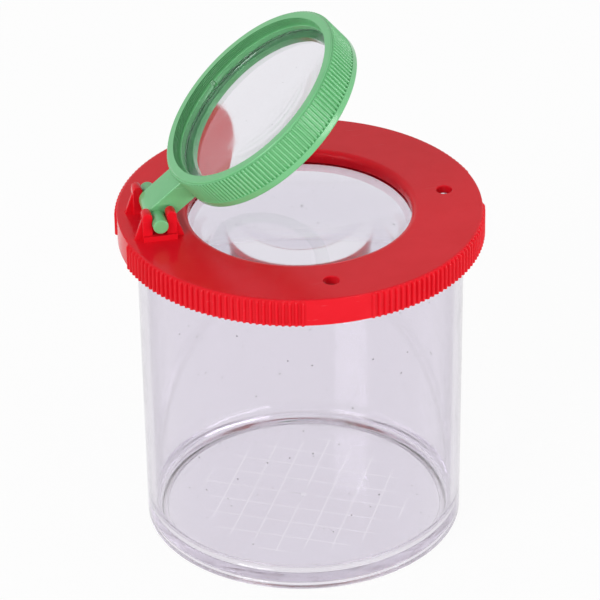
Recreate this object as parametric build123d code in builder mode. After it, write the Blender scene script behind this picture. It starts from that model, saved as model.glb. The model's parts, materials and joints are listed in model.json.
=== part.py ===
"""Bug catcher jar: a clear jar with a twist-on lid, a lens in the lid and a flip-up magnifier.

Millimetres, +Z up. The origin is the middle of the jar's foot. The magnifier's hinge is on the -X side
of the lid, with its axis along Y, and the magnifier is drawn raised. The lid is drawn seated, at the
angle where its lugs are clear of the jar's lugs.
"""
import os
from math import cos, radians, sin

from build123d import *

# Jar: a moulded cup that widens a little towards its rim
jar_height = 65.3
jar_rim_radius = 31.16
jar_draft = 0.6
jar_wall = 1.6
jar_floor = 1.6
jar_base_round = 0.7
jar_inner_round = 3.7
jar_rim_round = 0.4
foot_width = 3.2
foot_height = 0.6

# Measuring grid, pressed into the jar's floor round a small gate mark
grid_pitch = 5.0
grid_radius = 20.6
grid_line_width = 0.35
grid_line_depth = 0.2
grid_turn = -27.0
gate_radius = 0.7

# Twist closure: lugs on the jar's neck, and lugs inside the lid's skirt that turn in under them
lug_count = 4
lug_span = 24.0
lug_height = 1.2
lug_play = 0.15
jar_lug_reach = 1.5
jar_lug_gap = 0.64
lid_lug_gap = 0.44
closing_turn = 45.0
stop_span = 2.5
stop_play = 0.5

# Lid
lid_height = 5.4
lid_plate = 1.6
lid_skirt = 1.3
lid_edge_round = 0.9
rim_gap = 0.1
lid_rib_zones = 4
lid_ribs_per_zone = 35
lid_rib_pitch = 2.0
lid_rib_round = 0.3
lid_rib_reach = 0.5
vent_radius = 1.5
vent_inset = 1.5
vent_count = 3

# Lid lens, its seat round the bore, and the split ring under it
bore_radius = 21.2
bore_lip = 1.3
lid_seat_depth = 2.4
lid_seat_width = 1.5
lid_lens_edge = 1.4
lid_lens_crown = 4.0
lid_ring_height = 1.0
collar_wall = 1.1
collar_lip = 0.4

# Fits that both lenses share
lens_side_gap = 0.08
lens_end_gap = 0.08
dome_gap = 0.2
snap_depth = 0.3
snap_gap = 0.05
split_angle = 3.0

# Hinge: two brackets of two fingers each, which the pins snap down between
hinge_inset = 6.7
arm_lid_gap = 1.09
arm_side_gap = 0.35
pin_radius = 1.45
pin_clearance = 0.05
pin_bite = 0.1
pin_overhang = 0.7
pin_end_round = 0.25
bracket_depth = 3.0
finger_thickness = 1.9
finger_overtop = 0.9
bracket_wall = 0.8
bracket_ledge = 0.6
bracket_wall_height = 1.1
gusset_foot = 1.5
gusset_height = 4.2
gusset_thickness = 0.8

# Magnifier frame: a ribbed ring on a short arm
raised_angle = 39.94
arm_width = 7.1
arm_thickness = 4.5
arm_edge_round = 0.3
ring_radius = 20.0
ring_height = 7.15
ring_wall = 1.6
ring_closed_gap = 0.82
ring_rib_count = 144
ring_rib_round = 0.3
ring_rib_reach = 0.45
flange_height = 1.45
ring_rim_height = 0.45
ring_rim_round = 0.35
bore_groove_count = 5
bore_groove_pitch = 0.35
bore_groove_radius = 0.12
bore_groove_inset = 0.2

# Magnifier lens, its seat, and the split ring over it
magnifier_seat_height = 2.3
magnifier_seat_width = 1.8
magnifier_lens_edge = 1.6
magnifier_lens_crown = 1.5
magnifier_ring_height = 1.25
magnifier_ring_lip = 0.45
magnifier_split_turn = 112.0

# Heights that follow from the jar up
floor_top = foot_height + jar_floor
lid_under = jar_height + rim_gap
lid_top = lid_under + lid_plate
lid_bottom = lid_top - lid_height
lid_lug_middle = lid_bottom + lug_height / 2
jar_lug_middle = lid_lug_middle + lug_height + lug_play
jar_lug_top = jar_lug_middle + lug_height / 2

# Radii that follow from the jar's rim outwards
jar_base_radius = jar_rim_radius - jar_draft
lug_outer = jar_rim_radius + jar_lug_reach
lid_lug_inner = jar_rim_radius + lid_lug_gap
skirt_inner = lug_outer + jar_lug_gap
lid_radius = skirt_inner + lid_skirt
vent_circle = jar_rim_radius - jar_wall - vent_inset
lug_pitch = 360 / lug_count

# The lid's lens and its ring, stacked down from the seat
lid_lens_radius = bore_radius + lid_seat_width
lid_lens_bore = lid_lens_radius + lens_side_gap
lid_groove_radius = lid_lens_bore + snap_depth
collar_radius = lid_groove_radius + collar_wall
lid_seat = lid_top - lid_seat_depth
lid_lens_middle = lid_seat - lens_end_gap - lid_lens_edge / 2
lid_ring_middle = lid_lens_middle - lid_lens_edge / 2 - lens_end_gap - lid_ring_height / 2
lid_groove_height = lid_ring_height + 2 * snap_gap
collar_bottom = lid_ring_middle - lid_groove_height / 2 - collar_lip

# The hinge line, and where its brackets and pins end along Y
hinge_radius = lid_radius - hinge_inset
hinge_height = arm_thickness / 2 + arm_lid_gap
finger_gap = 2 * (pin_radius - pin_bite)
finger_middle = (finger_gap + finger_thickness) / 2
finger_height = hinge_height + pin_radius + finger_overtop
bracket_start = arm_width / 2 + arm_side_gap
bracket_end = bracket_start + bracket_depth
finger_depth = bracket_depth - bracket_ledge
finger_centre = bracket_start + finger_depth / 2
pin_end = bracket_end + pin_overhang

# The magnifier's own frame: along the arm from the hinge, and square to the ring
hinge_point = (-hinge_radius, 0, lid_top + hinge_height)
arm_direction = (cos(radians(raised_angle)), 0, sin(radians(raised_angle)))
ring_normal = (-sin(radians(raised_angle)), 0, cos(radians(raised_angle)))
hinge_plane = Plane(hinge_point, x_dir=arm_direction, z_dir=(0, -1, 0))
ring_middle = hinge_plane.from_local_coords((hinge_radius, 0, 0))
ring_plane = Plane(ring_middle, x_dir=arm_direction, z_dir=ring_normal)
ring_axis = Axis(ring_middle, ring_normal)

# Heights and radii in the ring, measured along its normal from the hinge line
ring_bottom = ring_closed_gap - hinge_height
ring_top = ring_bottom + ring_height
rib_bottom = ring_bottom + flange_height
rib_top = ring_top - ring_rim_height
flange_radius = ring_radius + ring_rib_reach
ring_bore = ring_radius - ring_wall
magnifier_groove_radius = ring_bore + snap_depth
magnifier_seat = ring_bottom + magnifier_seat_height
magnifier_seat_inner = ring_bore - magnifier_seat_width
magnifier_lens_middle = magnifier_seat + lens_end_gap + magnifier_lens_edge / 2
magnifier_ring_middle = (
    magnifier_lens_middle + magnifier_lens_edge / 2 + lens_end_gap + magnifier_ring_height / 2
)
arm_end = hinge_radius - ring_radius + ring_wall / 2


def half_section(base, height=0, turn=0):
    """A half section of what stands round on a base plane: X runs outwards at a turn, Y along the axis."""
    level = base.moved(Location((0, 0, height), (0, 0, turn)))
    return Plane(level.origin, x_dir=level.x_dir, z_dir=-level.y_dir)


def upright(y):
    """A plane square to the hinge line: X is radial, and Y rises from the lid's top under the hinge."""
    return Plane((-hinge_radius, y, lid_top), x_dir=(1, 0, 0), z_dir=(0, -1, 0))


def moulded_lens(section, axis, rim_radius, dome_radius, edge, crown):
    """A lens domed on top and flat below, with a flange round it; section is at half the flange's height."""
    shoulder = edge / 2
    apex = shoulder + crown
    with BuildPart() as lens:
        with BuildSketch(section):
            with BuildLine():
                TangentArc((0, apex), (dome_radius, shoulder), tangent=(1, 0))
                Polyline(
                    (dome_radius, shoulder),
                    (rim_radius, shoulder),
                    (rim_radius, -shoulder),
                    (0, -shoulder),
                    (0, apex),
                )
            make_face()
        revolve(axis=axis)
    return lens


def split_ring(section, axis, inner_radius, outer_radius, height):
    """A flat ring with a narrow split, which springs into its groove; section is at its mid height."""
    with BuildPart() as ring:
        with BuildSketch(section):
            with Locations(((inner_radius + outer_radius) / 2, 0)):
                Rectangle(outer_radius - inner_radius, height)
        revolve(axis=axis, revolution_arc=360 - split_angle)
    return ring


# Jar
with BuildPart() as jar:
    with BuildSketch(half_section(Plane.XY)):
        with BuildLine():
            FilletPolyline(
                (jar_base_radius, 0),
                (jar_rim_radius, jar_height),
                (jar_rim_radius - jar_wall, jar_height),
                (jar_base_radius - jar_wall, floor_top),
                (0, floor_top),
                (0, foot_height),
                (jar_base_radius - foot_width, foot_height),
                (jar_base_radius - foot_width, 0),
                radius=[jar_base_round, jar_rim_round, jar_rim_round, jar_inner_round, 0, 0, 0, 0],
                close=True,
            )
        make_face()
    revolve(axis=Axis.Z)

    # The neck's lugs, each with a stop at the end that the lid's lug turns towards
    jar_lug_root = jar_rim_radius - jar_wall / 2
    jar_lug_width = lug_outer - jar_lug_root
    jar_lug_radius = jar_lug_root + jar_lug_width / 2
    for lug in range(lug_count):
        lug_start = lug * lug_pitch - closing_turn - lug_span / 2
        with BuildSketch(half_section(Plane.XY, jar_lug_middle, lug_start)):
            with Locations((jar_lug_radius, 0)):
                Rectangle(jar_lug_width, lug_height)
        revolve(axis=Axis.Z, revolution_arc=lug_span)
        stop_start = lug_start - stop_play - stop_span
        with BuildSketch(half_section(Plane.XY, (lid_bottom + jar_lug_top) / 2, stop_start)):
            with Locations((jar_lug_radius, 0)):
                Rectangle(jar_lug_width, jar_lug_top - lid_bottom)
        revolve(axis=Axis.Z, revolution_arc=stop_span)

    # The grid's lines and the gate mark
    grid_lines = 2 * int(grid_radius / grid_pitch) + 1
    with BuildSketch(Plane.XY.offset(floor_top).rotated((0, 0, grid_turn))):
        with GridLocations(grid_pitch, 0, grid_lines, 1):
            Rectangle(grid_line_width, 2 * grid_radius)
        with GridLocations(0, grid_pitch, 1, grid_lines):
            Rectangle(2 * grid_radius, grid_line_width)
        Circle(gate_radius)
        Circle(grid_radius, mode=Mode.INTERSECT)
    extrude(amount=-grid_line_depth, mode=Mode.SUBTRACT)
jar.part.label = "jar"

# Lid
with BuildPart() as lid:
    # The plate, its skirt, and the collar that holds the lens under the bore
    with BuildSketch(half_section(Plane.XY)):
        with BuildLine():
            Polyline(
                (bore_radius + bore_lip, lid_top),
                (lid_radius, lid_top),
                (lid_radius, lid_bottom),
                (skirt_inner, lid_bottom),
                (skirt_inner, lid_under),
                (collar_radius, lid_under),
                (collar_radius, collar_bottom),
                (lid_lens_bore, collar_bottom),
                (lid_lens_bore, lid_seat),
                (bore_radius, lid_seat),
                (bore_radius, lid_top - bore_lip),
            )
            TangentArc((bore_radius, lid_top - bore_lip), (bore_radius + bore_lip, lid_top), tangent=(0, 1))
        make_face()
        with Locations((lid_lens_bore, lid_ring_middle)):
            Rectangle(2 * snap_depth, lid_groove_height, mode=Mode.SUBTRACT)
    revolve(axis=Axis.Z)

    # Lugs inside the skirt
    lid_lug_width = skirt_inner + lid_skirt / 2 - lid_lug_inner
    for lug in range(lug_count):
        with BuildSketch(half_section(Plane.XY, lid_lug_middle, lug * lug_pitch - lug_span / 2)):
            with Locations((lid_lug_inner + lid_lug_width / 2, 0)):
                Rectangle(lid_lug_width, lug_height)
        revolve(axis=Axis.Z, revolution_arc=lug_span)

    # Hinge brackets: fingers that grip the pin, their gussets, and a low wall across the outer end
    for side in (-1, 1):
        for end in (-1, 1):
            finger_back = end * (finger_middle + finger_thickness / 2)
            gusset_end = finger_back + end * gusset_foot
            straight = finger_height - finger_thickness / 2
            with BuildSketch(upright(side * finger_centre)):
                with Locations((end * finger_middle, (straight - lid_plate) / 2)):
                    Rectangle(finger_thickness, straight + lid_plate)
                with Locations((end * finger_middle, straight)):
                    Circle(finger_thickness / 2)
                with Locations((0, hinge_height)):
                    Circle(pin_radius + pin_clearance, mode=Mode.SUBTRACT)
            extrude(amount=finger_depth / 2, both=True)
            with BuildSketch(upright(side * finger_centre)):
                with BuildLine():
                    Polyline(
                        (end * finger_middle, -lid_plate / 2),
                        (gusset_end, -lid_plate / 2),
                        (gusset_end, 0),
                        (finger_back, gusset_height),
                        (end * finger_middle, gusset_height),
                        close=True,
                    )
                make_face()
                with Locations((0, hinge_height)):
                    Circle(pin_radius + pin_clearance, mode=Mode.SUBTRACT)
            extrude(amount=gusset_thickness / 2, both=True)
        with BuildSketch(upright(side * (bracket_end - bracket_wall / 2))):
            with Locations((0, (bracket_wall_height - lid_plate) / 2)):
                Rectangle(finger_gap + 2 * finger_thickness, bracket_wall_height + lid_plate)
        extrude(amount=bracket_wall / 2, both=True)

    # A slot through the plate under each pin, and vent holes on every side but the hinge's
    slot_length = bracket_depth - bracket_wall
    slot_middle = bracket_start + slot_length / 2
    with BuildSketch(Plane.XY.offset(lid_under)):
        with Locations((-hinge_radius, -slot_middle), (-hinge_radius, slot_middle)):
            Rectangle(finger_gap, slot_length)
        with PolarLocations(vent_circle, vent_count, -90, 180, endpoint=True):
            Circle(vent_radius)
    extrude(amount=lid_plate, mode=Mode.SUBTRACT)

    # The grip's half-round ribs, and the rounding that takes their tops into the plate
    rib_circle = lid_radius + lid_rib_reach - lid_rib_round
    crest_radius = lid_radius + lid_rib_reach
    zone_pitch = 360 / lid_rib_zones
    zone_span = (lid_ribs_per_zone - 1) * lid_rib_pitch
    with BuildSketch(Plane.XY.offset(lid_bottom)):
        for zone in range(lid_rib_zones):
            first_rib = zone * zone_pitch + (zone_pitch - zone_span) / 2
            with PolarLocations(rib_circle, lid_ribs_per_zone, first_rib, zone_span, endpoint=True):
                Circle(lid_rib_round)
    extrude(amount=lid_height)
    with BuildSketch(half_section(Plane.XY)):
        with BuildLine():
            edge_start = (crest_radius, lid_top - lid_edge_round)
            edge_end = (crest_radius - lid_edge_round, lid_top)
            TangentArc(edge_start, edge_end, tangent=(0, 1))
            Polyline(
                edge_end,
                (crest_radius - lid_edge_round, lid_top + lid_edge_round),
                (crest_radius + lid_edge_round, lid_top + lid_edge_round),
                (crest_radius + lid_edge_round, lid_top - lid_edge_round),
                edge_start,
            )
        make_face()
    revolve(axis=Axis.Z, mode=Mode.SUBTRACT)
lid.part.label = "lid"

# Lid lens and the split ring under it
lid_lens = moulded_lens(
    half_section(Plane.XY, lid_lens_middle),
    Axis.Z,
    lid_lens_radius,
    bore_radius - dome_gap,
    lid_lens_edge,
    lid_lens_crown,
)
lid_lens.part.label = "lid_lens"
lid_lens_ring = split_ring(
    half_section(Plane.XY, lid_ring_middle),
    Axis.Z,
    bore_radius,
    lid_groove_radius - snap_gap,
    lid_ring_height,
)
lid_lens_ring.part.label = "lid_lens_ring"

# Magnifier frame
with BuildPart() as magnifier_frame:
    # The arm, round at the hinge end, with the pins at its sides
    with BuildSketch(hinge_plane):
        with Locations((arm_end / 2, 0)):
            Rectangle(arm_end, arm_thickness)
        Circle(arm_thickness / 2)
    extrude(amount=arm_width / 2, both=True)
    side_faces = magnifier_frame.faces().filter_by(Axis.Y)
    fillet(side_faces.edges(), arm_edge_round)
    with BuildSketch(hinge_plane):
        Circle(pin_radius)
    extrude(amount=pin_end, both=True)
    fillet(magnifier_frame.faces().sort_by(Axis.Y)[0].edges(), pin_end_round)
    fillet(magnifier_frame.faces().sort_by(Axis.Y)[-1].edges(), pin_end_round)

    # The ring: a ribbed wall between a flange and a rounded rim
    ring_rib_circle = ring_radius + ring_rib_reach - ring_rib_round
    with BuildSketch(ring_plane.offset(rib_bottom)):
        Circle(ring_radius)
        with PolarLocations(ring_rib_circle, ring_rib_count):
            Circle(ring_rib_round)
        Circle(ring_bore, mode=Mode.SUBTRACT)
    extrude(amount=rib_top - rib_bottom)
    with BuildSketch(half_section(ring_plane)):
        with BuildLine():
            FilletPolyline(
                (ring_bore, rib_top),
                (ring_radius, rib_top),
                (ring_radius, ring_top),
                (ring_bore, ring_top),
                radius=[0, 0, ring_rim_round, 0],
                close=True,
            )
        make_face()
        with BuildLine():
            FilletPolyline(
                (magnifier_seat_inner, ring_bottom),
                (flange_radius, ring_bottom),
                (flange_radius, rib_bottom),
                (ring_bore, rib_bottom),
                (ring_bore, magnifier_seat),
                (magnifier_seat_inner, magnifier_seat),
                radius=[0, ring_rim_round, 0, 0, 0, 0],
                close=True,
            )
        make_face()
    revolve(axis=ring_axis)

    # The split ring's groove, and fine grooves round the bore above it
    with BuildSketch(half_section(ring_plane)):
        with Locations((ring_bore, magnifier_ring_middle)):
            Rectangle(2 * snap_depth, magnifier_ring_height + 2 * snap_gap)
        for groove in range(bore_groove_count):
            groove_height = ring_top - bore_groove_inset - groove * bore_groove_pitch
            with Locations((ring_bore, groove_height)):
                Circle(bore_groove_radius)
    revolve(axis=ring_axis, mode=Mode.SUBTRACT)
magnifier_frame.part.label = "magnifier_frame"

# Magnifier lens and the split ring over it
magnifier_lens = moulded_lens(
    half_section(ring_plane, magnifier_lens_middle),
    ring_axis,
    ring_bore - lens_side_gap,
    magnifier_seat_inner - dome_gap,
    magnifier_lens_edge,
    magnifier_lens_crown,
)
magnifier_lens.part.label = "magnifier_lens"
magnifier_lens_ring = split_ring(
    half_section(ring_plane, magnifier_ring_middle, magnifier_split_turn),
    ring_axis,
    ring_bore - magnifier_ring_lip,
    magnifier_groove_radius - snap_gap,
    magnifier_ring_height,
)
magnifier_lens_ring.part.label = "magnifier_lens_ring"

os.makedirs("parts", exist_ok=True)
pieces = [jar, lid, lid_lens, lid_lens_ring, magnifier_frame, magnifier_lens, magnifier_lens_ring]
for piece in pieces:
    export_step(piece.part, f"parts/{piece.part.label}.step")
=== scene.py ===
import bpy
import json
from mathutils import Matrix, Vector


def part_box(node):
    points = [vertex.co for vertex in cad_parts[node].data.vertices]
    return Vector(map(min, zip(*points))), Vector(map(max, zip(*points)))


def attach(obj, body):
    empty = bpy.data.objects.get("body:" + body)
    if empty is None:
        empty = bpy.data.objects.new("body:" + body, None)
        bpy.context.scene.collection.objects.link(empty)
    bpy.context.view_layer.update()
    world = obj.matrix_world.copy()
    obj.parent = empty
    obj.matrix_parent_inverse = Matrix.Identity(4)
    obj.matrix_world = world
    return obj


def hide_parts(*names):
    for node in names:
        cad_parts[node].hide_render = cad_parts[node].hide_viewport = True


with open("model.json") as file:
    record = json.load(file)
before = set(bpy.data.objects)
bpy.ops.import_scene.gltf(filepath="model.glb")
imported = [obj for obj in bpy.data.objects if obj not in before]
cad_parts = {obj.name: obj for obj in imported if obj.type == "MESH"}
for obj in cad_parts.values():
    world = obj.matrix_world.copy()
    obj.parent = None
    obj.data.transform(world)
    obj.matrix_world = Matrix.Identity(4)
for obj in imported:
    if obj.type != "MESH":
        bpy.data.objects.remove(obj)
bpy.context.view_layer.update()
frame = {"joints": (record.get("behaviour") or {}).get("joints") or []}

import json
from math import acos, atan2, cos, degrees, pi, radians, sin, sqrt, tan

import bmesh
import bpy
from mathutils import Matrix, Vector
from mathutils.geometry import delaunay_2d_cdt

mm = 0.001

# Jar: a clear cup moulded in one shot of stiff plastic, a little wider at its rim than at its foot.
# It stands on a ring under its floor. A measuring grid is pressed into the floor round the gate mark,
# and four lugs round the neck, each with a stop beside it, catch the lid.
jar_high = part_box("jar")[1]
jar_height = jar_high.z
jar_rim_radius = jar_high.x
jar_base_radius = jar_rim_radius - 0.6 * mm
jar_wall = 1.6 * mm
jar_base_round = 0.7 * mm
jar_inner_round = 3.7 * mm
jar_rim_round = 0.4 * mm
foot_inner = jar_base_radius - 3.2 * mm
foot_height = 0.6 * mm
foot_edge_round = 0.25 * mm
underside_edge = 0.95 * foot_inner
floor_top = foot_height + 1.6 * mm
jar_columns = 360
jar_round_steps = 10
jar_crease = 12

neck_lugs = 4
lug_span = 24
lug_turn = -45
lug_height = 1.2 * mm
lug_bottom = jar_height - 2.35 * mm
lug_top = lug_bottom + lug_height
lug_root = jar_rim_radius - jar_wall / 2
lug_reach = jar_rim_radius + 1.5 * mm
lug_edge_round = 0.2 * mm
stop_span = 2.5
stop_play = 0.5
stop_bottom = jar_height - 3.7 * mm
stop_columns = 3

grid_pitch = 5 * mm
grid_radius = 20.6 * mm
grid_reach = 0.99 * grid_radius
grid_edge = 1.1 * grid_radius
grid_turn = -27
grid_line_width = 0.45 * mm
grid_line_depth = 0.03 * mm
grid_line_paleness = 1.6
gate_radius = 0.7 * mm
gate_floor_radius = 0.6 * gate_radius
gate_columns = 24
gate_depth = 2 * grid_line_depth
grid_weld = grid_line_width / 1000
on_line = grid_line_width / 50
same_place = mm / 1000

clear_tint = (0.849, 0.824, 0.876, 1)
deep_tint = (0.48, 0.385, 0.555, 1)
jar_density = 10
# Painted shade: the darker colour that the clear plastic is mixed towards where it is seen edge on, and the
# facing range over which that mix begins and ends.
painted_edge_shade = (0.56, 0.52, 0.60, 1)
edge_shade_slant = (0.6, 0.82)
styrene_ior = 1.59
jar_wave = 0.12
wave_scale = 70
wave_height = 0.02 * mm
wipe_scale = 180
wipe_range = (0.4, 0.75)
wipe_dullness = (0.015, 0.09)
jar_specks = 260
speck_rim = (0.035, 0.05)
dust_grey = (0.1, 0.09, 0.1, 1)
pure_white = (1, 1, 1, 1)


def rounded_outline(corners, steps=6):
    """Turns (across, along, round) corners into outline points, with an arc at each round corner."""
    outline = []
    for place, (across, along, rounding) in enumerate(corners):
        corner = Vector((across, along))
        if rounding == 0:
            outline.append(corner)
            continue
        before = Vector(corners[place - 1][:2]) - corner
        after = Vector(corners[(place + 1) % len(corners)][:2]) - corner
        before.normalize()
        after.normalize()
        half = acos(max(-1, min(1, before.dot(after)))) / 2
        centre = corner + (before + after).normalized() * rounding / sin(half)
        first = corner + before * rounding / tan(half) - centre
        last = corner + after * rounding / tan(half) - centre
        start = atan2(first.y, first.x)
        sweep = (atan2(last.y, last.x) - start + pi) % (2 * pi) - pi
        for step in range(steps + 1):
            angle = start + sweep * step / steps
            outline.append(centre + Vector((cos(angle), sin(angle))) * rounding)
    return outline


def solid(name, points, faces):
    """A closed mesh object with its faces turned outwards."""
    mesh = bpy.data.meshes.new(name)
    mesh.from_pydata(points, [], faces)
    mesh.validate()
    shape = bmesh.new()
    shape.from_mesh(mesh)
    bmesh.ops.recalc_face_normals(shape, faces=shape.faces)
    shape.to_mesh(mesh)
    shape.free()
    made = bpy.data.objects.new(name, mesh)
    bpy.context.scene.collection.objects.link(made)
    return made


def turned(name, outline, columns, valley=None, ridge=None, fine=1, capped=False):
    """A solid turned round Z from an outline of (radius, height) points.

    With a valley outline, ridge(angle) from 0 to 1 says how far each point stands out from the valley
    to the outline, on a finer division of the turn. A capped outline is open and gets two flat ends.
    """
    points, rings = [], []
    for place, spot in enumerate(outline):
        low = valley[place] if valley else spot
        ribbed = (spot - low).length > same_place / 10
        count = columns * fine if ribbed else columns
        rings.append(range(len(points), len(points) + count))
        for step in range(count):
            angle = 2 * pi * step / count
            at = low.lerp(spot, ridge(angle)) if ribbed else spot
            points.append((at.x * cos(angle), at.x * sin(angle), at.y))
    following = rings[1:] if capped else rings[1:] + rings[:1]
    faces = [list(rings[0]), list(rings[-1])] if capped else []
    for ring, after in zip(rings, following):
        strips = min(len(ring), len(after))
        for strip in range(strips):
            face = []
            for edge, order in ((ring, 1), (after, -1)):
                share = len(edge) // strips
                run = [edge[(strip * share + k) % len(edge)] for k in range(share + 1)]
                face += run[::order]
            faces.append(face)
    return solid(name, points, faces)


def turned_part(name, outline, start, sweep, columns):
    """A solid turned only part of the way round Z, from start through sweep degrees, with flat ends."""
    points, rings = [], []
    for spot in outline:
        rings.append(range(len(points), len(points) + columns + 1))
        for step in range(columns + 1):
            angle = radians(start + sweep * step / columns)
            points.append((spot.x * cos(angle), spot.x * sin(angle), spot.y))
    faces = [[ring[0] for ring in rings], [ring[-1] for ring in rings]]
    for ring, after in zip(rings, rings[1:] + rings[:1]):
        for step in range(columns):
            faces.append([ring[step], ring[step + 1], after[step + 1], after[step]])
    return solid(name, points, faces)


def fix_modifiers(piece):
    """Keeps what the piece's modifiers give as its own mesh."""
    graph = bpy.context.evaluated_depsgraph_get()
    made = bpy.data.meshes.new_from_object(piece.evaluated_get(graph))
    piece.modifiers.clear()
    piece.data = made


def mould(piece, tools, operation):
    """Joins the tools, then adds them to the piece (UNION) or cuts them out of it (DIFFERENCE)."""
    joined = tools[0]
    pairs = [(joined, tool, "UNION") for tool in tools[1:]] + [(piece, joined, operation)]
    for target, tool, kind in pairs:
        step = target.modifiers.new(kind, "BOOLEAN")
        step.operation = kind
        step.solver = "EXACT"
        step.object = tool
        fix_modifiers(target)
        bpy.data.objects.remove(tool)


def press_grid(piece):
    """Puts shallow V lines, and the gate's dimple, in place of the plain disc of the jar's floor."""
    turns = [2 * pi * k / jar_columns for k in range(jar_columns)]
    corners = [Vector((cos(turn), sin(turn))) for turn in turns]
    spots = [corner * grid_edge for corner in corners]
    edges = [(k, (k + 1) % jar_columns) for k in range(jar_columns)]
    lines_each_side = int(grid_radius / grid_pitch)
    offsets = [line * grid_pitch for line in range(-lines_each_side, lines_each_side + 1)]
    for turn in (grid_turn, grid_turn + 90):
        across = Vector((cos(radians(turn)), sin(radians(turn))))
        along = Vector((-across.y, across.x))
        for offset in offsets:
            for side in (-0.5, 0, 0.5):
                off = offset + side * grid_line_width
                reach = sqrt(grid_radius**2 - off**2)
                edges.append((len(spots), len(spots) + 1))
                spots += [across * off - along * reach, across * off + along * reach]
    for radius in (gate_radius, gate_radius / 2):
        first = len(spots)
        spots += [corner * radius for corner in corners[:: jar_columns // gate_columns]]
        edges += [(k, k + 1 if k + 1 < len(spots) else first) for k in range(first, len(spots))]
    made = delaunay_2d_cdt(spots, edges, [list(range(jar_columns))], 1, grid_weld)

    def depth(spot):
        """How deep the floor is pressed at a spot: in the middle of each line, and in the gate's dimple."""
        if spot.length < gate_floor_radius:
            return gate_depth
        if spot.length > grid_reach:
            return 0
        for turn in (grid_turn, grid_turn + 90):
            off = spot.dot(Vector((cos(radians(turn)), sin(radians(turn)))))
            if min(abs(off - offset) for offset in offsets) < on_line:
                return grid_line_depth
        return 0

    shape = bmesh.new()
    shape.from_mesh(piece.data)
    plain = [
        face
        for face in shape.faces
        if all(abs(spot.co.z - floor_top) < same_place for spot in face.verts)
        and all(abs(spot.co.xy.length - grid_edge) < same_place for spot in face.verts)
    ]
    bmesh.ops.delete(shape, geom=plain, context="FACES_ONLY")
    pressed = shape.verts.layers.float.new("pressed")
    points = []
    for spot in made[0]:
        points.append(shape.verts.new((spot.x, spot.y, floor_top - depth(spot))))
        points[-1][pressed] = grid_line_paleness * depth(spot) / grid_line_depth
    for face in made[2]:
        shape.faces.new([points[k] for k in face])
    bmesh.ops.remove_doubles(shape, verts=shape.verts, dist=2 * same_place)
    bmesh.ops.recalc_face_normals(shape, faces=shape.faces)
    shape.to_mesh(piece.data)
    shape.free()


def smooth_finish(piece, crease=38):
    """Smooth shading that keeps edges sharper than the crease, with flat faces left flat."""
    piece.data.shade_smooth()
    piece.data.set_sharp_from_angle(angle=radians(crease))
    weighted = piece.modifiers.new("flat_faces", "WEIGHTED_NORMAL")
    weighted.keep_sharp = True
    fix_modifiers(piece)


def plug(material, node, sockets):
    """Sets a node's sockets to values, or links them from other nodes' sockets."""
    for socket, value in sockets.items():
        if isinstance(value, bpy.types.NodeSocket):
            material.node_tree.links.new(value, node.inputs[socket])
        else:
            node.inputs[socket].default_value = value


def add_node(material, kind, sockets=None, **settings):
    """A shader node with its settings and its sockets."""
    made = material.node_tree.nodes.new(kind)
    for setting, value in settings.items():
        setattr(made, setting, value)
    plug(material, made, sockets or {})
    return made


def spread(material, value, start, end):
    """A number taken from one range to another, and kept inside the second."""
    sockets = {
        "Value": value,
        "From Min": start[0],
        "From Max": start[1],
        "To Min": end[0],
        "To Max": end[1],
    }
    return add_node(material, "ShaderNodeMapRange", sockets).outputs["Result"]


def two_colours(material, value, places, first, second):
    """The first colour up to one value, the second from another, and a blend between."""
    ramp = add_node(material, "ShaderNodeValToRGB", {"Fac": value})
    for mark, place, colour in zip(ramp.color_ramp.elements, places, (first, second)):
        mark.position = place
        mark.color = colour
    return ramp.outputs["Color"]


def mixed(material, share, first, second):
    """The first colour with a share of the second. A Mix node numbers its colour sockets 6, 7 and 2."""
    sockets = {0: share, 6: first, 7: second}
    return add_node(material, "ShaderNodeMix", sockets, data_type="RGBA").outputs[2]


def start_material(name):
    """A new material, with its shader and the place on the piece, in metres, that its patterns follow."""
    material = bpy.data.materials.new(name)
    material.use_nodes = True
    shader = material.node_tree.nodes["Principled BSDF"]
    place = add_node(material, "ShaderNodeTexCoord").outputs["Object"]
    return material, shader, place


def clear_moulding(name, tint, edge, ior, wave, specks, density):
    """Clear hard plastic: faintly wavy from the mould, with dull wipe marks and a few specks of dust.

    Where it is seen edge on, its colour is mixed towards a darker edge colour, which is painted shade. It
    is paler along the pressed lines.
    """
    material, shader, place = start_material(name)
    waviness = add_node(material, "ShaderNodeTexNoise", {"Vector": place, "Scale": wave_scale, "Detail": 1})
    relief = add_node(
        material,
        "ShaderNodeBump",
        {"Height": waviness.outputs["Fac"], "Strength": wave, "Distance": wave_height},
    )
    wipes = add_node(
        material,
        "ShaderNodeTexNoise",
        {"Vector": place, "Scale": wipe_scale, "Detail": 5, "Roughness": 0.6},
    )
    dust = add_node(material, "ShaderNodeTexVoronoi", {"Vector": place, "Scale": specks, "Randomness": 1})
    dusty = two_colours(material, dust.outputs["Distance"], speck_rim, dust_grey, tint)
    # Painted shade: the colour is made darker where the surface is seen edge on.
    slant = add_node(material, "ShaderNodeLayerWeight", {"Blend": 0.5}).outputs["Facing"]
    painted_edge_colour = mixed(material, spread(material, slant, edge_shade_slant, (0, 1)), dusty, edge)
    lines = add_node(material, "ShaderNodeAttribute", attribute_name="pressed").outputs["Fac"]
    inside = add_node(material, "ShaderNodeVolumeAbsorption", {"Color": deep_tint, "Density": density})
    surface = {
        "Base Color": mixed(material, lines, painted_edge_colour, pure_white),
        "Roughness": spread(material, wipes.outputs["Fac"], wipe_range, wipe_dullness),
        "Normal": relief.outputs["Normal"],
        "IOR": ior,
        "Transmission Weight": 1,
    }
    plug(material, shader, surface)
    plug(material, material.node_tree.nodes["Material Output"], {"Volume": inside.outputs["Volume"]})
    return material


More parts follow.
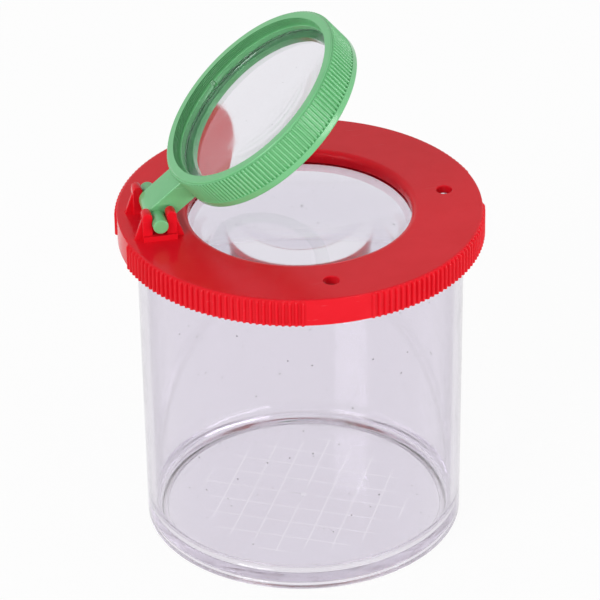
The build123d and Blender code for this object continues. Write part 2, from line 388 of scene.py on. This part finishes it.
jar_outline = rounded_outline(
    [
        (underside_edge, foot_height, 0),
        (foot_inner, foot_height, foot_edge_round),
        (foot_inner, 0, foot_edge_round),
        (jar_base_radius, 0, jar_base_round),
        (jar_rim_radius, jar_height, jar_rim_round),
        (jar_rim_radius - jar_wall, jar_height, jar_rim_round),
        (jar_base_radius - jar_wall, floor_top, jar_inner_round),
        (grid_edge, floor_top, 0),
    ],
    steps=jar_round_steps,
)
clear_jar = turned("clear_jar", jar_outline, jar_columns, capped=True)

lug_outline = rounded_outline(
    [
        (lug_root, lug_bottom, 0),
        (lug_reach, lug_bottom, lug_edge_round),
        (lug_reach, lug_top, lug_edge_round),
        (lug_root, lug_top, 0),
    ]
)
stop_outline = rounded_outline(
    [
        (lug_root, stop_bottom, 0),
        (lug_reach, stop_bottom, lug_edge_round),
        (lug_reach, lug_top, lug_edge_round),
        (lug_root, lug_top, 0),
    ]
)
neck_parts = []
for lug in range(neck_lugs):
    lug_start = lug * 360 / neck_lugs + lug_turn - lug_span / 2
    stop_start = lug_start - stop_play - stop_span
    neck_parts.append(turned_part("neck_lug", lug_outline, lug_start, lug_span, lug_span))
    neck_parts.append(turned_part("neck_stop", stop_outline, stop_start, stop_span, stop_columns))
mould(clear_jar, neck_parts, "UNION")
press_grid(clear_jar)
smooth_finish(clear_jar, crease=jar_crease)
jar_plastic = clear_moulding(
    "jar_plastic", clear_tint, painted_edge_shade, styrene_ior, jar_wave, jar_specks, jar_density
)
clear_jar.data.materials.append(jar_plastic)
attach(clear_jar, "jar")
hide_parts("jar")

# Lid: one red moulding with a plate, a skirt with four zones of grip ribs, and a collar for the lens.
# Two brackets of two snap fingers each stand on the plate and grip the magnifier's pins. Four lugs
# inside the skirt turn in under the jar's lugs, and three holes let air in.
joints = {joint["name"]: joint for joint in frame["joints"]}
lid_low, lid_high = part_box("lid")
lid_radius = lid_high.x
lid_top = joints["lid_turn"]["pos_m"][2]
lid_plate = 1.6 * mm
lid_under = lid_top - lid_plate
lid_bottom = lid_top - 5.4 * mm
lid_crest = lid_radius + 0.5 * mm
lid_edge_round = 0.9 * mm
skirt_inner = lid_radius - 1.3 * mm
skirt_edge_round = 0.2 * mm
bore_radius = 21.2 * mm
bore_lip = 1.3 * mm
lid_seat = lid_top - 2.4 * mm
lens_bore = bore_radius + 1.58 * mm
collar_radius = lens_bore + 1.4 * mm
collar_bottom = lid_low.z
collar_edge_round = 0.15 * mm
lid_groove_radius = lens_bore + 0.3 * mm
lid_groove_top = lid_seat - 1.51 * mm
lid_groove_bottom = lid_groove_top - 1.1 * mm
lid_columns = 360
lid_fine = 8
lid_round_steps = 8

rib_zone = 90
rib_zone_start = 10
rib_pitch = 2
rib_half_width = 0.32 * mm

lid_lug_inner = jar_rim_radius + 0.44 * mm
lid_lug_outer = skirt_inner + 0.65 * mm
lid_lug_top = lid_bottom + lug_height

vent_radius = 1.5 * mm
vent_edge_round = 0.2 * mm
vent_circle = jar_rim_radius - jar_wall - 1.5 * mm
vent_turns = (-90, 0, 90)
vent_columns = 48

hinge = Vector(joints["magnifier_flip"]["pos_m"])
pin_grip = 1.5 * mm
finger_inner = 1.35 * mm
finger_outer = finger_inner + 1.9 * mm
finger_round = (finger_outer - finger_inner) / 2
finger_straight = lid_high.z - finger_round
bracket_start = 3.9 * mm
bracket_end = bracket_start + 3 * mm
bracket_wall = 0.8 * mm
finger_end = bracket_end - 0.6 * mm
bracket_wall_top = lid_top + 1.1 * mm
gusset_foot = 1.5 * mm
gusset_top = lid_top + 4.2 * mm
gusset_thickness = 0.8 * mm
gusset_start = (bracket_start + finger_end - gusset_thickness) / 2
bracket_edge_round = 0.18 * mm
bracket_edge_angle = 40
bracket_round_steps = 3
grip_steps = 4
tip_steps = 16
bracket_root = lid_top - lid_plate / 2

lid_red = (0.75, 0.007, 0.017, 1)
lid_red_pale = (0.79, 0.011, 0.023, 1)
lid_grain = 2600
lid_shine = 0.13
lid_wear = 0.05
cloud_scale = 120
cloud_range = (0.35, 0.7)
scratch_rate = (150, 2400, 2400)
scratch_range = (0.7, 0.8)
scratch_white = (0.8, 0.8, 0.8, 1)
rub_scale = 420
rub_range = (0.3, 0.75)
satin_dullness = (0.13, 0.26)
grain_strength = 0.35
grain_height = 0.02 * mm
satin_ior = 1.5


def lid_rib(angle):
    """How far a grip rib stands out at this angle: half-round ribs, with a plain panel in each quarter."""
    turn = degrees(angle) % rib_zone
    if not rib_zone_start < turn < rib_zone - rib_zone_start:
        return 0
    off = (turn - rib_zone_start) % rib_pitch - rib_pitch / 2
    across = radians(off) * lid_radius / rib_half_width
    return sqrt(max(0, 1 - across**2))


def block(name, low, high):
    """A plain block between two corners."""
    points = [(x, y, z) for x in (low[0], high[0]) for y in (low[1], high[1]) for z in (low[2], high[2])]
    faces = [(0, 1, 3, 2), (4, 6, 7, 5), (0, 4, 5, 1), (2, 3, 7, 6), (0, 2, 6, 4), (1, 5, 7, 3)]
    return solid(name, points, faces)


def prism(name, outline, start, end, edge_round):
    """A plate with an outline of (x, z) points, from one y to another, with its edges a little rounded."""
    count = len(outline)
    points = [(spot.x, y, spot.y) for y in (start, end) for spot in outline]
    faces = [list(range(count)), list(range(count, 2 * count))]
    for place in range(count):
        after = (place + 1) % count
        faces.append([place, after, count + after, count + place])
    made = solid(name, points, faces)
    if edge_round:
        step = made.modifiers.new("edges", "BEVEL")
        step.width = edge_round
        step.segments = bracket_round_steps
        step.limit_method = "ANGLE"
        step.angle_limit = radians(bracket_edge_angle)
        fix_modifiers(made)
    return made


def satin_plastic(name, colour, pale, grain, shine, wear):
    """Opaque moulded plastic: a fine sparkle of grain, cloudy gloss, rub marks and hairline scratches."""
    material, shader, place = start_material(name)
    clouds = add_node(
        material,
        "ShaderNodeTexNoise",
        {"Vector": place, "Scale": cloud_scale, "Detail": 6, "Roughness": 0.62},
    )
    shades = two_colours(material, clouds.outputs["Fac"], cloud_range, colour, pale)
    hairlines = add_node(material, "ShaderNodeMapping", {"Vector": place, "Scale": scratch_rate})
    scratches = add_node(
        material, "ShaderNodeTexNoise", {"Vector": hairlines.outputs["Vector"], "Scale": 1, "Detail": 2}
    )
    scratch_share = spread(material, scratches.outputs["Fac"], scratch_range, (0, wear))
    rubs = add_node(
        material,
        "ShaderNodeTexNoise",
        {"Vector": place, "Scale": rub_scale, "Detail": 4, "Distortion": 1.5},
    )
    pits = add_node(material, "ShaderNodeTexNoise", {"Vector": place, "Scale": grain, "Detail": 2})
    relief = add_node(
        material,
        "ShaderNodeBump",
        {"Height": pits.outputs["Fac"], "Strength": grain_strength, "Distance": grain_height},
    )
    surface = {
        "Base Color": mixed(material, scratch_share, shades, scratch_white),
        "Roughness": spread(material, rubs.outputs["Fac"], rub_range, satin_dullness),
        "Normal": relief.outputs["Normal"],
        "IOR": satin_ior,
        "Specular IOR Level": shine,
    }
    plug(material, shader, surface)
    return material


lid_outline = rounded_outline(
    [
        (bore_radius, lid_seat, 0),
        (bore_radius, lid_top, bore_lip),
        (lid_crest, lid_top, lid_edge_round),
        (lid_crest, lid_bottom, skirt_edge_round),
        (skirt_inner, lid_bottom, skirt_edge_round),
        (skirt_inner, lid_under, skirt_edge_round),
        (collar_radius, lid_under, 0),
        (collar_radius, collar_bottom, collar_edge_round),
        (lens_bore, collar_bottom, collar_edge_round),
        (lens_bore, lid_groove_bottom, 0),
        (lid_groove_radius, lid_groove_bottom, 0),
        (lid_groove_radius, lid_groove_top, 0),
        (lens_bore, lid_groove_top, 0),
        (lens_bore, lid_seat, 0),
    ],
    steps=lid_round_steps,
)
lid_valley = [Vector((min(spot.x, lid_radius), spot.y)) for spot in lid_outline]
red_lid = turned("red_lid", lid_outline, lid_columns, lid_valley, lid_rib, lid_fine)

lid_lug_outline = rounded_outline(
    [
        (lid_lug_inner, lid_bottom, lug_edge_round),
        (lid_lug_outer, lid_bottom, 0),
        (lid_lug_outer, lid_lug_top, 0),
        (lid_lug_inner, lid_lug_top, lug_edge_round),
    ]
)
lid_parts = []
for lug in range(neck_lugs):
    lug_start = lug * 360 / neck_lugs - lug_span / 2
    lid_parts.append(turned_part("lid_lug", lid_lug_outline, lug_start, lug_span, lug_span))

finger_outline = [Vector((finger_inner, bracket_root))]
grip = acos(finger_inner / pin_grip)
for step in range(-grip_steps, grip_steps + 1):
    angle = grip * step / grip_steps
    finger_outline.append(Vector((pin_grip * cos(angle), hinge.z + pin_grip * sin(angle))))
finger_middle = finger_inner + finger_round
for step in range(tip_steps + 1):
    angle = pi - pi * step / tip_steps
    across = finger_middle + finger_round * cos(angle)
    finger_outline.append(Vector((across, finger_straight + finger_round * sin(angle))))
finger_outline.append(Vector((finger_outer, bracket_root)))
gusset_outline = [
    Vector((finger_middle, bracket_root)),
    Vector((finger_outer + gusset_foot, bracket_root)),
    Vector((finger_outer + gusset_foot, lid_top)),
    Vector((finger_outer, gusset_top)),
    Vector((finger_middle, gusset_top)),
]
wall_outline = [
    Vector((0, bracket_root)),
    Vector((finger_outer, bracket_root)),
    Vector((finger_outer, bracket_wall_top)),
    Vector((0, bracket_wall_top)),
]
for end in (-1, 1):
    for side in (-1, 1):
        for name, outline, start, stop in (
            ("finger", finger_outline, bracket_start, finger_end),
            ("gusset", gusset_outline, gusset_start, gusset_start + gusset_thickness),
            ("bracket_wall", wall_outline, bracket_end - bracket_wall, bracket_end),
        ):
            placed = [Vector((hinge.x + end * spot.x, spot.y)) for spot in outline]
            edge_round = 0 if name == "bracket_wall" else bracket_edge_round
            lid_parts.append(prism(name, placed, side * start, side * stop, edge_round))
mould(red_lid, lid_parts, "UNION")

vent_outline = [
    Vector((vent_radius, lid_under - lid_plate)),
    *rounded_outline(
        [
            (vent_radius, lid_under, 0),
            (vent_radius, lid_top, vent_edge_round),
            (vent_radius + 2 * vent_edge_round, lid_top, 0),
        ]
    )[1:-1],
    Vector((vent_radius + vent_edge_round, lid_top + lid_plate)),
]
lid_cuts = []
for turn in vent_turns:
    vent = turned("vent", vent_outline, vent_columns, capped=True)
    vent.data.transform(Matrix.Rotation(radians(turn), 4, "Z") @ Matrix.Translation((vent_circle, 0, 0)))
    lid_cuts.append(vent)
for side in (-1, 1):
    slot_ends = sorted((side * bracket_start, side * (bracket_end - bracket_wall)))
    low = (hinge.x - finger_inner, slot_ends[0], lid_under - lid_plate)
    high = (hinge.x + finger_inner, slot_ends[1], lid_top + lid_plate / 2)
    lid_cuts.append(block("slot", low, high))
mould(red_lid, lid_cuts, "DIFFERENCE")
smooth_finish(red_lid)
red_plastic = satin_plastic("red_plastic", lid_red, lid_red_pale, lid_grain, lid_shine, lid_wear)
red_lid.data.materials.append(red_plastic)
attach(red_lid, "lid")
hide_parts("lid")

# Lid lens: a clear moulded disc, domed on top and flat below, with a flange round it.
# Its flange sits up against the seat round the lid's bore, and it turns freely there.
lid_lens_low, lid_lens_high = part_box("lid_lens")
lid_lens_radius = lid_lens_high.x
dome_margin = 0.2 * mm
lid_lens_dome = bore_radius - dome_margin
lid_lens_edge = 1.4 * mm
lid_lens_middle = lid_lens_low.z + lid_lens_edge / 2
lid_lens_crown = 4 * mm
lens_columns = 720
lens_edge_round = 0.1 * mm
lens_tint = (0.815, 0.805, 0.85, 1)
acrylic_ior = 1.49
lens_density = 3
lens_wave = 0.03
lens_specks = 420


def lens_outline(middle, rim, dome, edge, crown, steps=28):
    """Half a lens in section: its domed top from near the axis, and its flange down to the flat back."""
    ball = (dome**2 + crown**2) / (2 * crown)
    outline = []
    for step in range(1, steps + 1):
        radius = dome * step / steps
        outline.append(Vector((radius, edge / 2 + crown - ball + sqrt(ball**2 - radius**2))))
    outline += rounded_outline(
        [
            (dome, edge / 2, 0),
            (rim, edge / 2, lens_edge_round),
            (rim, -edge / 2, lens_edge_round),
            (dome, -edge / 2, 0),
        ]
    )[1:]
    return [Vector((spot.x, middle + spot.y)) for spot in outline]


lid_lens = turned(
    "lid_lens_disc",
    lens_outline(lid_lens_middle, lid_lens_radius, lid_lens_dome, lid_lens_edge, lid_lens_crown),
    lens_columns,
    capped=True,
)
smooth_finish(lid_lens)
lens_plastic = clear_moulding(
    "lens_plastic", lens_tint, lens_tint, acrylic_ior, lens_wave, lens_specks, lens_density
)
lid_lens.data.materials.append(lens_plastic)
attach(lid_lens, "lid_lens")
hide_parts("lid_lens")

# Lid lens ring: a thin red ring with one split, sprung into a groove in the lid's collar.
# It holds the lens up against its seat from below.
lid_ring_low, lid_ring_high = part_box("lid_lens_ring")
ring_edge_round = 0.12 * mm
ring_play = 0.05 * mm
split_angle = 3
ring_columns = 720
lid_ring_outline = rounded_outline(
    [
        (bore_radius, lid_ring_low.z, ring_edge_round),
        (lid_groove_radius - ring_play, lid_ring_low.z, ring_edge_round),
        (lid_groove_radius - ring_play, lid_ring_high.z, ring_edge_round),
        (bore_radius, lid_ring_high.z, ring_edge_round),
    ]
)
lid_ring = turned_part("lid_spring_ring", lid_ring_outline, 0, 360 - split_angle, ring_columns)
smooth_finish(lid_ring)
lid_ring.data.materials.append(red_plastic)
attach(lid_ring, "lid")
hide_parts("lid_lens_ring")

# Magnifier frame: one green moulding of a ribbed ring, a short flat arm and two hinge pins.
# The pins snap down between the lid's fingers. It is made lying flat, with its origin on the hinge
# line, and then swung up to its rest angle.
raised = radians(-joints["magnifier_flip"]["range_deg"][0])
swing = Matrix.Translation(hinge) @ Matrix.Rotation(-raised, 4, "Y")
ring_centre = Matrix.Translation((-hinge.x, 0, 0))
ring_radius = 20 * mm
ring_crest = ring_radius + 0.45 * mm
ring_bore = ring_radius - 1.6 * mm
ring_bottom = 0.82 * mm - (hinge.z - lid_top)
ring_top = ring_bottom + 7.15 * mm
rib_bottom = ring_bottom + 1.45 * mm
rib_top = ring_top - 0.45 * mm
rib_end_round = 0.25 * mm
rib_foot = 0.08 * mm
rib_head = 0.05 * mm
ring_rim_round = 0.35 * mm
seat_inner = ring_bore - 1.8 * mm
seat_height = ring_bottom + 2.3 * mm
seat_edge_round = 0.2 * mm
spring_groove_radius = ring_bore + 0.3 * mm
spring_groove_bottom = seat_height + 1.71 * mm
spring_groove_top = spring_groove_bottom + 1.35 * mm
bore_grooves = 5
bore_groove_pitch = 0.35 * mm
bore_groove_radius = 0.12 * mm
bore_groove_depth = 0.4 * mm
bore_groove_inset = 0.2 * mm
ring_ribs = 144
ring_rib_half_width = 0.28 * mm
ring_coarse = 288
ring_fine = 10

arm_width = 7.1 * mm
arm_thickness = 4.5 * mm
arm_end = 8.9 * mm
arm_edge_round = 0.3 * mm
arm_steps = 24
pin_radius = 1.45 * mm
pin_end = bracket_end + 0.7 * mm
pin_end_round = 0.25 * mm
pin_columns = 64

ring_green = (0.16, 0.5, 0.215, 1)
ring_green_pale = (0.185, 0.545, 0.24, 1)
ring_grain = 2200
ring_shine = 0.4
ring_wear = 0.3


def ring_rib(angle):
    """How far a rib of the ring stands out at this angle: half-round ribs all the way round."""
    pitch = 2 * pi / ring_ribs
    off = (angle + pitch / 2) % pitch - pitch / 2
    return sqrt(max(0, 1 - (off * ring_radius / ring_rib_half_width) ** 2))


ring_corners = [
    (seat_inner, ring_bottom, seat_edge_round),
    (ring_crest, ring_bottom, ring_rim_round),
    (ring_crest, rib_bottom - rib_foot, 0),
    (ring_crest, rib_bottom, 0),
    (ring_crest, rib_top, rib_end_round),
    (ring_radius, rib_top + rib_head, 0),
    (ring_radius, ring_top, ring_rim_round),
    (ring_bore, ring_top, bore_groove_radius / 2),
]
for groove in range(bore_grooves):
    groove_height = ring_top - bore_groove_inset - groove * bore_groove_pitch
    ring_corners += [
        (ring_bore, groove_height + bore_groove_radius, 0),
        (ring_bore + bore_groove_depth, groove_height + bore_groove_radius / 2, 0),
        (ring_bore + bore_groove_depth, groove_height - bore_groove_radius / 2, 0),
        (ring_bore, groove_height - bore_groove_radius, 0),
    ]
ring_corners += [
    (ring_bore, spring_groove_top, 0),
    (spring_groove_radius, spring_groove_top, 0),
    (spring_groove_radius, spring_groove_bottom, 0),
    (ring_bore, spring_groove_bottom, 0),
    (ring_bore, seat_height, 0),
    (seat_inner, seat_height, seat_edge_round),
]
ring_outline = rounded_outline(ring_corners)
ring_valley = []
for spot in ring_outline:
    ribbed = rib_bottom - rib_foot / 2 < spot.y < rib_top + rib_foot / 4
    ring_valley.append(Vector((min(spot.x, ring_radius), spot.y)) if ribbed else spot)
green_frame = turned("green_magnifier", ring_outline, ring_coarse, ring_valley, ring_rib, ring_fine)
green_frame.data.transform(ring_centre)

arm_outline = []
for step in range(arm_steps + 1):
    angle = pi / 2 + pi * step / arm_steps
    arm_outline.append(Vector((cos(angle), sin(angle))) * arm_thickness / 2)
arm_outline += [Vector((arm_end, -arm_thickness / 2)), Vector((arm_end, arm_thickness / 2))]
arm = prism("arm", arm_outline, -arm_width / 2, arm_width / 2, arm_edge_round)
pin_outline = rounded_outline(
    [
        (pin_radius / 2, -pin_end, 0),
        (pin_radius, -pin_end, pin_end_round),
        (pin_radius, pin_end, pin_end_round),
        (pin_radius / 2, pin_end, 0),
    ]
)
pins = turned("pins", pin_outline, pin_columns, capped=True)
pins.data.transform(Matrix.Rotation(radians(90), 4, "X"))
mould(green_frame, [arm, pins], "UNION")
green_frame.data.transform(swing)
smooth_finish(green_frame)
green_plastic = satin_plastic(
    "green_plastic", ring_green, ring_green_pale, ring_grain, ring_shine, ring_wear
)
green_frame.data.materials.append(green_plastic)
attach(green_frame, "magnifier")
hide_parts("magnifier_frame")

# Magnifier lens: a clear moulded disc like the lid's, a size smaller.
# Its flange rests on the seat inside the green ring.
magnifier_lens_edge = 1.6 * mm
magnifier_lens_crown = 1.5 * mm
lens_play = 0.08 * mm
magnifier_lens_middle = seat_height + lens_play + magnifier_lens_edge / 2
magnifier_lens = turned(
    "magnifier_lens_disc",
    lens_outline(
        magnifier_lens_middle,
        ring_bore - lens_play,
        seat_inner - dome_margin,
        magnifier_lens_edge,
        magnifier_lens_crown,
    ),
    lens_columns,
    capped=True,
)
magnifier_lens.data.transform(swing @ ring_centre)
smooth_finish(magnifier_lens)
magnifier_lens.data.materials.append(lens_plastic)
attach(magnifier_lens, "magnifier")
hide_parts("magnifier_lens")

# Magnifier lens ring: a thin green ring with one split, sprung into the groove over the lens.
# Its top edge shows as a bright line inside the ring's bore.
spring_inner = ring_bore - 0.45 * mm
spring_outer = spring_groove_radius - ring_play
spring_bottom = spring_groove_bottom + ring_play
spring_top = spring_groove_top - ring_play
spring_lower_round = 0.3 * mm
spring_turn = 112
spring_outline = rounded_outline(
    [
        (spring_inner, spring_bottom, spring_lower_round),
        (spring_outer, spring_bottom, ring_edge_round),
        (spring_outer, spring_top, ring_edge_round),
        (spring_inner, spring_top, ring_edge_round),
    ]
)
spring_ring = turned_part("green_spring_ring", spring_outline, spring_turn, 360 - split_angle, ring_columns)
spring_ring.data.transform(swing @ ring_centre)
smooth_finish(spring_ring)
spring_ring.data.materials.append(green_plastic)
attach(spring_ring, "magnifier")
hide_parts("magnifier_lens_ring")

# Floor and studio: a wide white floor under a white room, seen as plain white and still taking a shadow.
# The light is soft, from a lamp at the left and above and a wide, low one in front at the right.
floor_half = 3.0
floor_drop = 0.03 * mm
floor_thickness = mm
floor_grey = (0.9, 0.9, 0.9, 1)
floor_white = 0.94
room_light = 0.62
jar_middle = Vector((0, 0, jar_height / 2))
left_lamp_place = Vector((-0.75, -0.60, 0.58))
left_lamp_size = (0.45, 0.45)
left_lamp_power = 4
front_lamp_place = Vector((0.57, -0.68, 0.10))
front_lamp_size = (0.9, 0.16)
front_lamp_power = 3.4


def seen_white(material):
    """1 for rays from the camera, from gloss and through clear plastic, and 0 for the light itself."""
    rays = add_node(material, "ShaderNodeLightPath").outputs
    direct = add_node(
        material,
        "ShaderNodeMath",
        {0: rays["Is Camera Ray"], 1: rays["Is Glossy Ray"]},
        operation="MAXIMUM",
    )
    seen = add_node(
        material,
        "ShaderNodeMath",
        {0: direct.outputs[0], 1: rays["Is Transmission Ray"]},
        operation="MAXIMUM",
    )
    return seen.outputs[0]


studio_floor = block(
    "studio_floor",
    (-floor_half, -floor_half, -floor_drop - floor_thickness),
    (floor_half, floor_half, -floor_drop),
)
floor_paper = bpy.data.materials.new("floor_paper")
floor_paper.use_nodes = True
floor_paper.node_tree.nodes.clear()
plain = add_node(floor_paper, "ShaderNodeBsdfDiffuse", {"Color": floor_grey})
glow = add_node(floor_paper, "ShaderNodeEmission", {"Color": pure_white, "Strength": 1})
share = add_node(
    floor_paper,
    "ShaderNodeMath",
    {0: seen_white(floor_paper), 1: floor_white},
    operation="MULTIPLY",
)
paper = add_node(
    floor_paper,
    "ShaderNodeMixShader",
    {0: share.outputs[0], 1: plain.outputs[0], 2: glow.outputs[0]},
)
add_node(floor_paper, "ShaderNodeOutputMaterial", {"Surface": paper.outputs[0]})
studio_floor.data.materials.append(floor_paper)

room = bpy.data.worlds.new("white_room")
room.use_nodes = True
room.node_tree.nodes.clear()
room_level = spread(room, seen_white(room), (0, 1), (room_light, 1))
room_glow = add_node(room, "ShaderNodeBackground", {"Color": pure_white, "Strength": room_level})
add_node(room, "ShaderNodeOutputWorld", {"Surface": room_glow.outputs[0]})
bpy.context.scene.world = room


def studio_lamp(name, place, size, power):
    """A flat soft lamp, so wide and so high, that faces the middle of the jar."""
    lamp = bpy.data.lights.new(name, "AREA")
    lamp.shape = "RECTANGLE"
    lamp.size, lamp.size_y = size
    lamp.energy = power
    holder = bpy.data.objects.new(name, lamp)
    bpy.context.scene.collection.objects.link(holder)
    holder.location = place
    holder.rotation_euler = (jar_middle - place).to_track_quat("-Z", "Y").to_euler()


studio_lamp("left_lamp", left_lamp_place, left_lamp_size, left_lamp_power)
studio_lamp("front_lamp", front_lamp_place, front_lamp_size, front_lamp_power)

# Camera: a long lens from the front, a little to the left and 30 degrees above.
# Its colours are shown plainly, and light may pass many times inside the clear walls before it comes out.
camera_lens = 264
camera_sensor = 36
camera_aim = Vector((-0.19 * mm, 0.04 * mm, 46.3 * mm))
camera_distance = 0.8318
camera_side = Vector((-0.173, -0.850, 0.4975))
camera_from = Vector((0, 0, lid_top)) + camera_distance * camera_side
camera_roll = radians(-0.825)
clear_passes = 32

camera_data = bpy.data.cameras.new("camera")
camera_data.lens = camera_lens
camera_data.sensor_width = camera_sensor
camera = bpy.data.objects.new("camera", camera_data)
bpy.context.scene.collection.objects.link(camera)
look = (camera_aim - camera_from).to_track_quat("-Z", "Y").to_matrix().to_4x4()
camera.matrix_world = Matrix.Translation(camera_from) @ look @ Matrix.Rotation(camera_roll, 4, "Z")
bpy.context.scene.camera = camera
bpy.context.scene.view_settings.view_transform = "Standard"

bpy.context.scene.cycles.max_bounces = clear_passes
bpy.context.scene.cycles.glossy_bounces = clear_passes
bpy.context.scene.cycles.transmission_bounces = clear_passes
